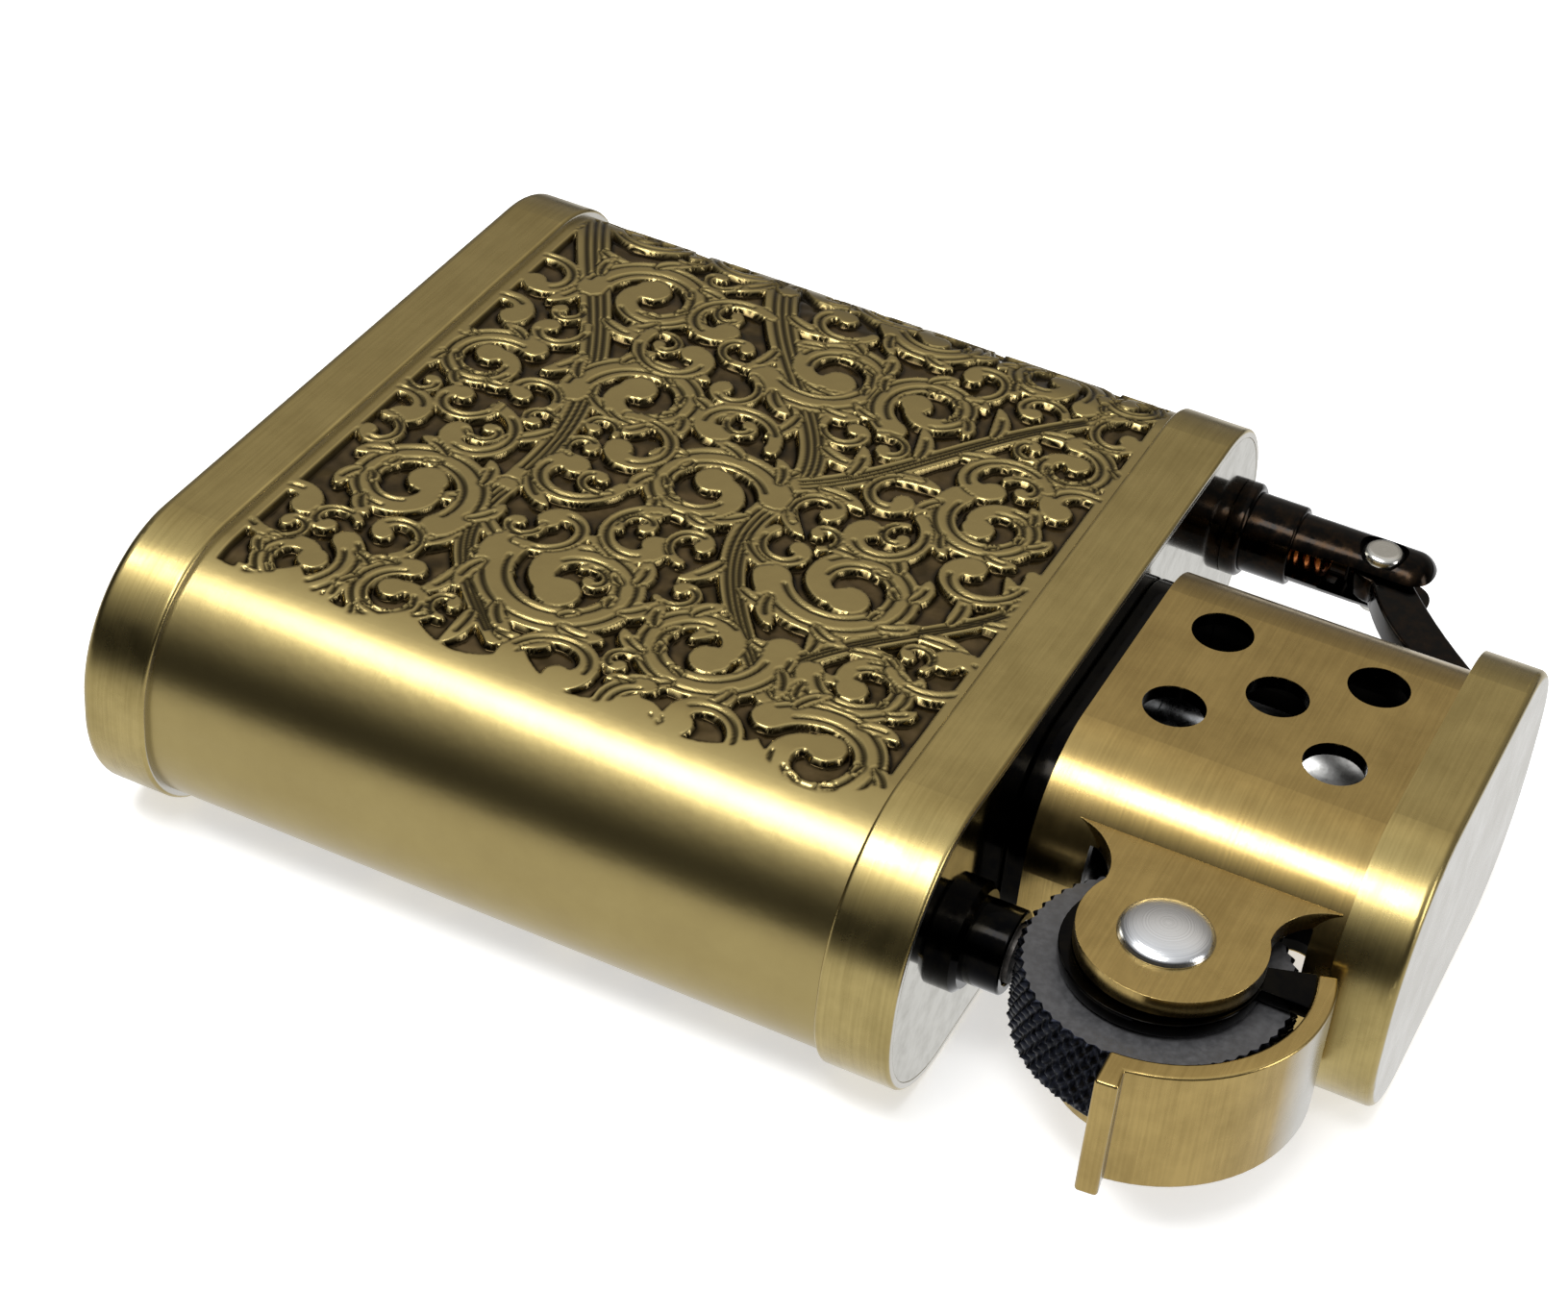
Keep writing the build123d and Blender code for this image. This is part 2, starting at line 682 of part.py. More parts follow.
# ======== export ========
nodes = {
    "base_cup": base_cup, "tank_shell": tank_shell, "collar": collar, "deck_plate": deck_plate,
    "base_felt": base_felt, "fuel_packing": fuel_packing, "filler_screw": filler_screw,
    "filler_gasket": filler_gasket, "flint_tube": flint_tube, "flint_ferrule": flint_ferrule,
    "flint_screw": flint_screw, "flint_plunger": flint_plunger, "flint": flint,
    "flint_spring": flint_spring, "wick_tube": wick_tube, "wick": wick, "burner_base": burner_base,
    "chimney": chimney, "wheel_ear_front": wheel_ear_front, "wheel_ear_back": wheel_ear_back,
    "wheel_axle": wheel_axle, "flint_wheel": flint_wheel, "ratchet_wheel": ratchet_wheel,
    "trigger_cover": trigger_cover, "trigger_cheek_front": trigger_cheek_front,
    "trigger_cheek_back": trigger_cheek_back, "trigger_spring": trigger_spring, "pawl": pawl,
    "pawl_pin": pawl_pin, "cap_shell": cap_shell, "cap_liner": cap_liner,
    "snuffer_cup": snuffer_cup, "snuffer_pad": snuffer_pad, "cap_arm": cap_arm,
    "hinge_post": hinge_post, "hinge_ferrule": hinge_ferrule, "hinge_pin": hinge_pin,
    "hinge_plunger": hinge_plunger, "hinge_spring": hinge_spring,
}
for name, node in nodes.items():
    node.part.label = name
    export_step(node.part, "parts/" + name + ".step")
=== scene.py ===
import json
import math
import bmesh
import bpy
import numpy as np
from mathutils import Matrix, Vector

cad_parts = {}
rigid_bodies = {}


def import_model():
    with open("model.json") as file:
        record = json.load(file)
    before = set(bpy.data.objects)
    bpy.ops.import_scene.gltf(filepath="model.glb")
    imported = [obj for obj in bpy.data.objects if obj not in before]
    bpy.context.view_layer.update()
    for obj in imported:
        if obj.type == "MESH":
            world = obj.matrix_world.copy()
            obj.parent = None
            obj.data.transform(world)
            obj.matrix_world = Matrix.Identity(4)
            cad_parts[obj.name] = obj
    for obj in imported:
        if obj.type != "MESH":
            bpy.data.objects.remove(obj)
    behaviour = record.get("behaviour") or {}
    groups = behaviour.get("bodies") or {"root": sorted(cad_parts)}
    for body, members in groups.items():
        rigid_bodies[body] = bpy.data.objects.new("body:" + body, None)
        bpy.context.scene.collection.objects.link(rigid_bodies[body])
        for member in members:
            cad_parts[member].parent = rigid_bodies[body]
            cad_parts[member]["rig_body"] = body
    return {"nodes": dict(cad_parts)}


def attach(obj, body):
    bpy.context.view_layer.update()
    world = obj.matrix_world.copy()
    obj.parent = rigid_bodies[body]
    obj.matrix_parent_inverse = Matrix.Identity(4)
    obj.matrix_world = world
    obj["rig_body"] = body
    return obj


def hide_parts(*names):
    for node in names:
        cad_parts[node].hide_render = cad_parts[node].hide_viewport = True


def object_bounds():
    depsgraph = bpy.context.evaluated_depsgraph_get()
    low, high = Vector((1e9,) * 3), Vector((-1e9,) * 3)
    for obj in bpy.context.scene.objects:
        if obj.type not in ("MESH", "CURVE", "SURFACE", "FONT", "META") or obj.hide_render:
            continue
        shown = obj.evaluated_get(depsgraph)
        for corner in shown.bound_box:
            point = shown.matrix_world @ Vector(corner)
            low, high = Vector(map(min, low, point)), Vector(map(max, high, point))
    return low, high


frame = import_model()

nodes = frame["nodes"]
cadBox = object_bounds()  # lowest and highest corner of the CAD model
mm = 0.001


def fromHex(code, alpha=1.0):
    # linear = (c / 12.92) below 0.04045, else ((c + 0.055) / 1.055) ^ 2.4
    c = np.array([int(code[i:i + 2], 16) / 255 for i in (1, 3, 5)])
    c = np.where(c <= 0.04045, c / 12.92, ((c + 0.055) / 1.055) ** 2.4)
    return (*c.tolist(), alpha)


def addNode(tree, kind, settings=None, inputs=None):
    # settings are the node's own; an input takes a value, or a link from another node's socket
    node = tree.nodes.new(kind)
    for name, value in (settings or {}).items():
        setattr(node, name, value)
    for name, value in (inputs or {}).items():
        socket = node.inputs[name]
        if isinstance(value, bpy.types.NodeSocket):
            tree.links.new(value, socket)
        else:
            socket.default_value = value
    return node


def newMaterial(name):
    material = bpy.data.materials.new(name)
    material.use_nodes = True
    material.node_tree.nodes.clear()
    return material, material.node_tree


def closeMaterial(tree, shader):
    output = tree.nodes.new("ShaderNodeOutputMaterial")
    tree.links.new(shader.outputs[0], output.inputs["Surface"])


def gridMesh(name, points, closeV=False, attributes=None):
    # points is rows x columns x 3, in millimetres; each cell of the grid is one quad
    rows, columns = points.shape[:2]
    ids = np.arange(rows * columns).reshape(rows, columns)
    a = np.concatenate([ids, ids[:, :1]], 1) if closeV else ids
    quads = np.stack([a[:-1, :-1], a[1:, :-1], a[1:, 1:], a[:-1, 1:]], -1).reshape(-1, 4)
    mesh = bpy.data.meshes.new(name)
    mesh.vertices.add(rows * columns)
    mesh.vertices.foreach_set("co", (points.reshape(-1, 3) * mm).astype(np.float32).ravel())
    mesh.loops.add(quads.size)
    mesh.loops.foreach_set("vertex_index", quads.astype(np.int32).ravel())
    mesh.polygons.add(len(quads))
    mesh.polygons.foreach_set("loop_start", np.arange(0, quads.size, 4, dtype=np.int32))
    mesh.polygons.foreach_set("use_smooth", np.ones(len(quads), bool))
    mesh.update(calc_edges=True)
    for key, values in (attributes or {}).items():
        layer = mesh.attributes.new(key, "FLOAT", "POINT")
        layer.data.foreach_set("value", values.astype(np.float32).ravel())
    thing = bpy.data.objects.new(name, mesh)
    bpy.context.scene.collection.objects.link(thing)
    return thing


def faceOutwards(thing):
    # a turned shape: rings that meet are welded, the small open poles that are left are filled, and then
    # every face is turned to point outwards
    shape = bmesh.new()
    shape.from_mesh(thing.data)
    bmesh.ops.remove_doubles(shape, verts=shape.verts, dist=0.00001 * mm)
    bmesh.ops.holes_fill(shape, edges=[edge for edge in shape.edges if edge.is_boundary])
    bmesh.ops.recalc_face_normals(shape, faces=shape.faces)
    shape.to_mesh(thing.data)
    shape.free()


def smooth(edge0, edge1, x):
    # 0 before the first edge, 1 after the second, and t^2 (3 - 2t) between them
    t = np.clip((x - edge0) / (edge1 - edge0), 0, 1)
    return t * t * (3 - 2 * t)


def softenedCopy(name, width, segments=2, angle=35):
    # a welded copy of the CAD shape whose sharp edges are rounded over
    source = nodes[name]
    mesh = source.data.copy()
    mesh.polygons.foreach_set("use_smooth", np.ones(len(mesh.polygons), bool))
    thing = bpy.data.objects.new(name + "_soft", mesh)
    bpy.context.scene.collection.objects.link(thing)
    weld = thing.modifiers.new("weld", "WELD")
    weld.merge_threshold = 0.000002
    flat = thing.modifiers.new("flat", "DECIMATE")
    flat.decimate_type = "DISSOLVE"
    flat.angle_limit = math.radians(1.0)
    bevel = thing.modifiers.new("bevel", "BEVEL")
    bevel.width = width * mm
    bevel.segments = segments
    bevel.limit_method = "ANGLE"
    bevel.angle_limit = math.radians(angle)
    evened = thing.modifiers.new("evened", "WEIGHTED_NORMAL")
    evened.weight = 90
    deps = bpy.context.evaluated_depsgraph_get()
    made = bpy.data.meshes.new_from_object(thing.evaluated_get(deps))
    thing.modifiers.clear()
    thing.data = made
    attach(thing, source["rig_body"])
    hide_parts(name)
    return thing


def dress(thing, material):
    thing.data.materials.clear()
    thing.data.materials.append(material)
    return thing


# finishes: colours are sRGB, and pattern sizes are in mm, or cycles per metre where the name says PerM
brushedBrass = {"light": "#b4a26b", "dark": "#766538", "rough": 0.25, "streakMm": 0.11, "runPerM": 220,
                "cloudMm": 3.0, "paintedEndHighlight": "#c3c0b8", "insideShade": None, "insideShadeColour": "#0b0a08"}
chimneyBrass = dict(brushedBrass, light="#b39b62", dark="#6f5a30", rough=0.22,
                    insideShade=(-0.65, 4.78, 0.89, 4.62))  # centre in y, half flats in y and z, radius inside the sheet


def brassMaterial(name, look):
    # cartridge brass, brushed round the case and antiqued: fine upright streaks, slightly cloudy;
    # the streaks are drawn coarser than real brush marks, so that they show
    material, tree = newMaterial(name)
    place = addNode(tree, "ShaderNodeTexCoord")
    along = addNode(tree, "ShaderNodeMapping", inputs={
        "Vector": place.outputs["Object"], "Scale": (1 / (look["streakMm"] * mm), look["runPerM"], look["runPerM"])})
    streaks = addNode(tree, "ShaderNodeTexNoise", inputs={
        "Vector": along.outputs[0], "Scale": 1.0, "Detail": 3.0, "Roughness": 0.6})
    clouds = addNode(tree, "ShaderNodeTexNoise", inputs={
        "Vector": place.outputs["Object"], "Scale": 1 / (look["cloudMm"] * mm), "Detail": 5.0, "Roughness": 0.62})
    grime = addNode(tree, "ShaderNodeMapRange", inputs={
        "Value": clouds.outputs["Fac"], "From Min": 0.35, "From Max": 0.72, "To Min": 0.0, "To Max": 0.42})
    streakTone = addNode(tree, "ShaderNodeMapRange", inputs={
        "Value": streaks.outputs["Fac"], "From Min": 0.3, "From Max": 0.7, "To Min": -0.10, "To Max": 0.16})
    mixed = addNode(tree, "ShaderNodeMath", {"operation": "ADD", "use_clamp": True}, {
        0: grime.outputs[0], 1: streakTone.outputs[0]})
    colour = addNode(tree, "ShaderNodeMix", {"data_type": "RGBA"}, {
        0: mixed.outputs[0], 6: fromHex(look["light"]), 7: fromHex(look["dark"])})
    # the +x end faces are polished, not brushed, and painted pale grey as a painted highlight: they are where the
    # normal points along the case
    normal = addNode(tree, "ShaderNodeSeparateXYZ", inputs={0: place.outputs["Normal"]})
    paintedEndHighlight = addNode(tree, "ShaderNodeMapRange", inputs={
        "Value": normal.outputs["X"], "From Min": 0.9, "From Max": 0.99})
    colour = addNode(tree, "ShaderNodeMix", {"data_type": "RGBA"}, {
        0: paintedEndHighlight.outputs[0], 6: colour.outputs[2], 7: fromHex(look["paintedEndHighlight"])})
    gloss = addNode(tree, "ShaderNodeMapRange", inputs={
        "Value": clouds.outputs["Fac"], "From Min": 0.3, "From Max": 0.75,
        "To Min": look["rough"] - 0.05, "To Max": look["rough"] + 0.1})
    if look["insideShade"]:
        # inside the sheet the metal is painted near black, a painted shade for the dark interior: |position| less the
        # flats, then its length against the radius
        midY, flatY, flatZ, radius = look["insideShade"]
        spot = addNode(tree, "ShaderNodeVectorMath", {"operation": "ADD"}, {
            0: place.outputs["Object"], 1: (0, -midY * mm, 0)})
        spot = addNode(tree, "ShaderNodeVectorMath", {"operation": "ABSOLUTE"}, {0: spot.outputs[0]})
        spot = addNode(tree, "ShaderNodeVectorMath", {"operation": "SUBTRACT"}, {
            0: spot.outputs[0], 1: (1, flatY * mm, flatZ * mm)})
        spot = addNode(tree, "ShaderNodeVectorMath", {"operation": "MAXIMUM"}, {0: spot.outputs[0], 1: (0, 0, 0)})
        away = addNode(tree, "ShaderNodeVectorMath", {"operation": "LENGTH"}, {0: spot.outputs[0]})
        inside = addNode(tree, "ShaderNodeMath", {"operation": "LESS_THAN"}, {
            0: away.outputs["Value"], 1: radius * mm})
        colour = addNode(tree, "ShaderNodeMix", {"data_type": "RGBA"}, {
            0: inside.outputs[0], 6: colour.outputs[2], 7: fromHex(look["insideShadeColour"])})
    bump = addNode(tree, "ShaderNodeBump", inputs={
        "Height": streaks.outputs["Fac"], "Strength": 0.10, "Distance": 0.00002})
    shader = addNode(tree, "ShaderNodeBsdfPrincipled", inputs={
        "Base Color": colour.outputs[2], "Metallic": 1.0, "Roughness": gloss.outputs[0], "Normal": bump.outputs[0]})
    closeMaterial(tree, shader)
    return material


engravedBrass = {"raised": "#a89764", "raisedWorn": "#86744a", "ground": "#63543a", "groundDark": "#4c4028",
                 "inkAndShadeColour": "#140f06", "groundMm": 0.9, "streakMm": 0.05, "runPerM": 220, "cloudPerM": 330}


def engravedMaterial():
    # the same brass with cut relief: rubbed bright on the leaves, dark oxide and lacquer in the ground, near black in
    # the cut lines, and painted shade with some dark patina at the foot of each wall
    look = engravedBrass
    material, tree = newMaterial("antiqued engraved brass")
    place = addNode(tree, "ShaderNodeTexCoord")
    relief = addNode(tree, "ShaderNodeAttribute", {"attribute_name": "relief"})
    inkAndShade = addNode(tree, "ShaderNodeAttribute", {"attribute_name": "inkAndShade"})
    along = addNode(tree, "ShaderNodeMapping", inputs={
        "Vector": place.outputs["Object"], "Scale": (1 / (look["streakMm"] * mm), look["runPerM"], look["runPerM"])})
    streaks = addNode(tree, "ShaderNodeTexNoise", inputs={
        "Vector": along.outputs[0], "Scale": 1.0, "Detail": 3.0, "Roughness": 0.6})
    clouds = addNode(tree, "ShaderNodeTexNoise", inputs={
        "Vector": place.outputs["Object"], "Scale": look["cloudPerM"], "Detail": 5.0, "Roughness": 0.62})
    puddles = addNode(tree, "ShaderNodeTexNoise", inputs={
        "Vector": place.outputs["Object"], "Scale": 1 / (look["groundMm"] * mm), "Detail": 2.0})
    leafTone = addNode(tree, "ShaderNodeMapRange", inputs={
        "Value": clouds.outputs["Fac"], "From Min": 0.3, "From Max": 0.75, "To Min": 0.0, "To Max": 0.28})
    leaf = addNode(tree, "ShaderNodeMix", {"data_type": "RGBA"}, {
        0: leafTone.outputs[0], 6: fromHex(look["raised"]), 7: fromHex(look["raisedWorn"])})
    groundTone = addNode(tree, "ShaderNodeMapRange", inputs={
        "Value": puddles.outputs["Fac"], "From Min": 0.35, "From Max": 0.65, "To Min": 0.0, "To Max": 1.0})
    ground = addNode(tree, "ShaderNodeMix", {"data_type": "RGBA"}, {
        0: groundTone.outputs[0], 6: fromHex(look["ground"]), 7: fromHex(look["groundDark"])})
    metal = addNode(tree, "ShaderNodeMix", {"data_type": "RGBA"}, {
        0: relief.outputs["Fac"], 6: ground.outputs[2], 7: leaf.outputs[2]})
    # near black where inkAndShade is high: dark fill in the cut lines, and painted shade at the foot of each wall
    colour = addNode(tree, "ShaderNodeMix", {"data_type": "RGBA"}, {
        0: inkAndShade.outputs["Fac"], 6: metal.outputs[2], 7: fromHex(look["inkAndShadeColour"])})
    gloss = addNode(tree, "ShaderNodeMapRange", inputs={
        "Value": relief.outputs["Fac"], "To Min": 0.16, "To Max": 0.30})
    height = addNode(tree, "ShaderNodeMath", {"operation": "MULTIPLY"}, {
        0: streaks.outputs["Fac"], 1: relief.outputs["Fac"]})
    wavy = addNode(tree, "ShaderNodeMath", {"operation": "MULTIPLY_ADD"}, {
        0: puddles.outputs["Fac"], 1: 3.0, 2: height.outputs[0]})
    bump = addNode(tree, "ShaderNodeBump", inputs={
        "Height": wavy.outputs[0], "Strength": 0.12, "Distance": 0.00002})
    shader = addNode(tree, "ShaderNodeBsdfPrincipled", inputs={
        "Base Color": colour.outputs[2], "Metallic": 1.0, "Roughness": gloss.outputs[0], "Normal": bump.outputs[0]})
    closeMaterial(tree, shader)
    return material


def metalMaterial(name, base, worn, rough, spotMm=0.5, bumpMm=0.004, metallic=1.0, spread=0.12):
    # a plain metal with small spots of wear: base colour and roughness wander together
    material, tree = newMaterial(name)
    place = addNode(tree, "ShaderNodeTexCoord")
    spots = addNode(tree, "ShaderNodeTexNoise", inputs={
        "Vector": place.outputs["Object"], "Scale": 1 / (spotMm * mm), "Detail": 6.0, "Roughness": 0.65})
    tone = addNode(tree, "ShaderNodeMapRange", inputs={
        "Value": spots.outputs["Fac"], "From Min": 0.42, "From Max": 0.7})
    colour = addNode(tree, "ShaderNodeMix", {"data_type": "RGBA"}, {
        0: tone.outputs[0], 6: fromHex(base), 7: fromHex(worn)})
    gloss = addNode(tree, "ShaderNodeMapRange", inputs={
        "Value": spots.outputs["Fac"], "From Min": 0.3, "From Max": 0.7,
        "To Min": max(rough - spread, 0.03), "To Max": rough + spread})
    bump = addNode(tree, "ShaderNodeBump", inputs={
        "Height": spots.outputs["Fac"], "Strength": 0.35, "Distance": bumpMm * mm})
    shader = addNode(tree, "ShaderNodeBsdfPrincipled", inputs={
        "Base Color": colour.outputs[2], "Metallic": metallic, "Roughness": gloss.outputs[0],
        "Normal": bump.outputs[0]})
    closeMaterial(tree, shader)
    return material


def turnedMaterial(name, base, centre, ringMm=0.06):
    # turned aluminium: rings cut round the pin's axis catch the light in two fans
    material, tree = newMaterial(name)
    place = addNode(tree, "ShaderNodeTexCoord")
    centred = addNode(tree, "ShaderNodeMapping", {"vector_type": "POINT"}, {
        "Vector": place.outputs["Object"], "Location": (-centre[0] * mm, -centre[1] * mm, 0)})
    flatten = addNode(tree, "ShaderNodeVectorMath", {"operation": "MULTIPLY"}, {
        0: centred.outputs[0], 1: (1, 1, 0)})
    radius = addNode(tree, "ShaderNodeVectorMath", {"operation": "LENGTH"}, {0: flatten.outputs[0]})
    rings = addNode(tree, "ShaderNodeTexNoise", {"noise_dimensions": "1D"}, {
        "W": radius.outputs["Value"], "Scale": 1 / (ringMm * mm), "Detail": 3.0})
    tone = addNode(tree, "ShaderNodeMapRange", inputs={
        "Value": rings.outputs["Fac"], "From Min": 0.3, "From Max": 0.7, "To Min": 0.82, "To Max": 1.0})
    colour = addNode(tree, "ShaderNodeMix", {"data_type": "RGBA"}, {
        0: tone.outputs[0], 6: fromHex("#7d7f82"), 7: fromHex(base)})
    bump = addNode(tree, "ShaderNodeBump", inputs={
        "Height": rings.outputs["Fac"], "Strength": 0.5, "Distance": 0.00001})
    shader = addNode(tree, "ShaderNodeBsdfPrincipled", inputs={
        "Base Color": colour.outputs[2], "Metallic": 1.0, "Roughness": 0.24, "Normal": bump.outputs[0]})
    closeMaterial(tree, shader)
    return material


def fibreMaterial(name, base, dark, fibreMm):
    # felt or cotton: matt, with fibres as a stretched noise
    material, tree = newMaterial(name)
    place = addNode(tree, "ShaderNodeTexCoord")
    fibres = addNode(tree, "ShaderNodeTexNoise", inputs={
        "Vector": place.outputs["Object"], "Scale": 1 / (fibreMm * mm), "Detail": 8.0, "Distortion": 1.5})
    colour = addNode(tree, "ShaderNodeMix", {"data_type": "RGBA"}, {
        0: fibres.outputs["Fac"], 6: fromHex(base), 7: fromHex(dark)})
    bump = addNode(tree, "ShaderNodeBump", inputs={
        "Height": fibres.outputs["Fac"], "Strength": 0.7, "Distance": 0.0001})
    shader = addNode(tree, "ShaderNodeBsdfPrincipled", inputs={
        "Base Color": colour.outputs[2], "Roughness": 0.95, "Normal": bump.outputs[0]})
    closeMaterial(tree, shader)
    return material


# bands and cap: satin, with upright streaks, and ends painted pale as a painted highlight
satinBrass = brassMaterial("antique satin brass", brushedBrass)
# ears and thumb trigger: browner, with the same streaks
wornBrass = brassMaterial("dark antique brass", dict(chimneyBrass, insideShade=None, rough=0.26))
# snuffer cup: soft grey-white, no clear reflection
snufferMetal = metalMaterial("satin nickel plate", "#d6d6d4", "#a9a9a6", 0.38, 0.4, 0.003)
# chimney: the same brass, painted near black inside the sheet as painted shade
insideShadedBrass = brassMaterial("antique brass, painted shade inside", chimneyBrass)
# small shop parts: near black with sharp reflections
deepBlack = metalMaterial("black lacquered steel", "#0a0a0b", "#15130f", 0.13, 0.8, 0.002)
# case: rubbed bright on top, dark in the cuts
engraved = engravedMaterial()
# deck: plated, polished, mirrors what stands on it
deckBrass = metalMaterial("mirror-polished nickel brass", "#b7b5ac", "#98958a", 0.08, 1.2, 0.001, 1.0, 0.04)
# arm and post: black, brown where it is handled
blackSteel = metalMaterial("blackened polished steel", "#121110", "#261c13", 0.16, 0.6, 0.003)
# wheel faces: matt grey
wheelSteel = metalMaterial("hardened grey steel", "#505052", "#5f5f61", 0.55, 0.35, 0.004, 0.55)
# wheel tread: blue-black, broken by the knurl
knurlSteel = metalMaterial("oxide-black knurled steel", "#16171c", "#2c2f3a", 0.42, 0.3, 0.02)
# screws and tube: clean grey, small scuffs
brightSteel = metalMaterial("bright steel", "#b9bbbd", "#8f9193", 0.22, 0.5, 0.003)
# hinge spring: orange glints on each turn
copperWire = metalMaterial("copper-washed spring wire", "#b8703f", "#7c4526", 0.28, 0.2, 0.003)
# inner springs: grey wire, bright on each turn
springWire = metalMaterial("spring steel wire", "#8d8f92", "#6a6c70", 0.25, 0.2, 0.003)
# rivet: pale, with fine turning rings
rivetMetal = turnedMaterial("turned aluminium", "#d9dbde", (44.1, -13.7))
# hinge pin: warmer than aluminium, same rings
pinMetal = turnedMaterial("turned nickel silver", "#c9c8c2", (43.0, 17.5), 0.05)
# packing, felt and pad: matt, off-white, fibrous
packingCotton = fibreMaterial("cotton packing", "#e6e1d4", "#b9b2a2", 0.35)
# wick: coarse strands, browned in the hollows
wickCotton = fibreMaterial("braided cotton wick", "#d8d0bb", "#6e675a", 0.15)
# gasket: matt black
gasketRubber = metalMaterial("nitrile rubber", "#141414", "#1f1f1f", 0.6, 0.4, 0.01, 0.0)
# flint: dull brown-grey, pitted
flintAlloy = metalMaterial("ferrocerium rod", "#5b5753", "#3c3936", 0.5, 0.2, 0.02, 0.8)
print("materials made")

# the engraved shell, all in mm; x runs along the case and v round its section
shell = {"halfFlat": 13.9, "corner": 5.74, "sideHalf": 0.45, "start": 1.25, "end": 35.0,
         "panelStart": 3.35, "panelEnd": 32.55, "nearEdge": 15.6, "farEdge": 18.6, "pitch": 0.078,
         "depth": 0.30, "wall": 0.085, "swell": 0.07, "vein": 0.055, "veinDepth": 0.10,
         "scallop": 1.3, "scallopStep": 5.1, "scallopFrom": 1.6, "margin": 0.12}
quarter = shell["corner"] * math.pi / 2
halfRound = 2 * shell["halfFlat"] + 2 * quarter + 2 * shell["sideHalf"]

# stems are cubic curves (four points each, mm from the base and from the middle), with start and end half-widths
stems = [
    ((3.2, 17.0), (5.5, 10.5), (12.2, 4.5), (10.8, -5.0), 0.75, 0.45),
    ((10.8, -5.0), (10.2, -9.0), (12.5, -11.5), (15.5, -14.2), 0.5, 0.3),
    ((13.2, 17.5), (14.5, 9.0), (23.0, 6.0), (20.8, -0.5), 0.7, 0.5),
    ((20.8, -0.5), (19.8, -5.0), (24.0, -9.0), (26.2, -11.8), 0.55, 0.35),
    ((21.0, 1.5), (24.5, 4.0), (25.5, 8.5), (30.5, 13.5), 0.5, 0.3),
    ((25.5, -11.0), (27.0, -6.5), (31.0, -4.5), (32.4, -1.5), 0.4, 0.25),
]
# scrolls: centre, outer radius, angle where the stem joins, turning sense, turns
scrolls = [
    (7.4, -7.2, 3.1, -35, 1, 1.25), (12.6, 3.6, 3.0, 200, -1, 1.2), (16.3, -9.2, 3.5, 170, 1, 1.25),
    (18.0, -0.9, 3.0, 20, 1, 1.2), (22.7, -10.2, 3.1, 25, -1, 1.2), (26.0, -3.6, 3.2, 200, 1, 1.25),
    (29.2, -9.0, 2.3, 190, 1, 1.15), (29.4, -14.2, 2.9, 150, -1, 1.2), (29.4, 3.4, 2.5, 150, 1, 1.2),
    (18.6, 10.2, 3.0, 220, 1, 1.25), (23.6, 9.9, 2.5, 250, -1, 1.2), (30.4, 9.0, 2.0, 100, -1, 1.1),
    (27.2, 15.0, 2.5, 330, 1, 1.2), (9.3, 10.9, 2.9, 190, -1, 1.2), (21.6, 16.0, 2.4, 200, 1, 1.15),
    (6.2, -13.8, 2.3, 60, -1, 1.1), (10.9, -13.9, 2.0, 100, 1, 1.1), (5.6, 2.6, 2.3, 60, 1, 1.15),
    (15.6, 16.6, 2.1, 220, -1, 1.1), (22.3, -15.3, 1.7, 100, 1, 1.1), (31.2, 15.6, 1.5, 200, 1, 1.0),
]


def cubicPoint(a, b, c, d, t):
    # a cubic curve: the four points weighted (1-t)^3, 3t(1-t)^2, 3t^2(1-t), t^3
    t = t[:, None]
    a, b, c, d = (np.array(p, float) for p in (a, b, c, d))
    return a * (1 - t) ** 3 + 3 * b * t * (1 - t) ** 2 + 3 * c * t ** 2 * (1 - t) + d * t ** 3


def spiralLine(x, y, radius, angle, sense, turns, t):
    # radius falls from the outside to the bulb while the angle runs on: r = R (0.30 + 0.70 (1-t)^1.15)
    r = radius * (0.30 + 0.70 * (1 - t) ** 1.15)
    phi = math.radians(angle) + sense * 2 * math.pi * turns * t
    return np.stack([x + r * np.cos(phi), y + r * np.sin(phi)], 1)


def sideOf(line):
    # unit steps along a line, and the same turned a quarter to the left
    step = np.gradient(line, axis=0)
    step /= np.linalg.norm(step, axis=1, keepdims=True) + 1e-9
    return step, np.stack([-step[:, 1], step[:, 0]], 1)


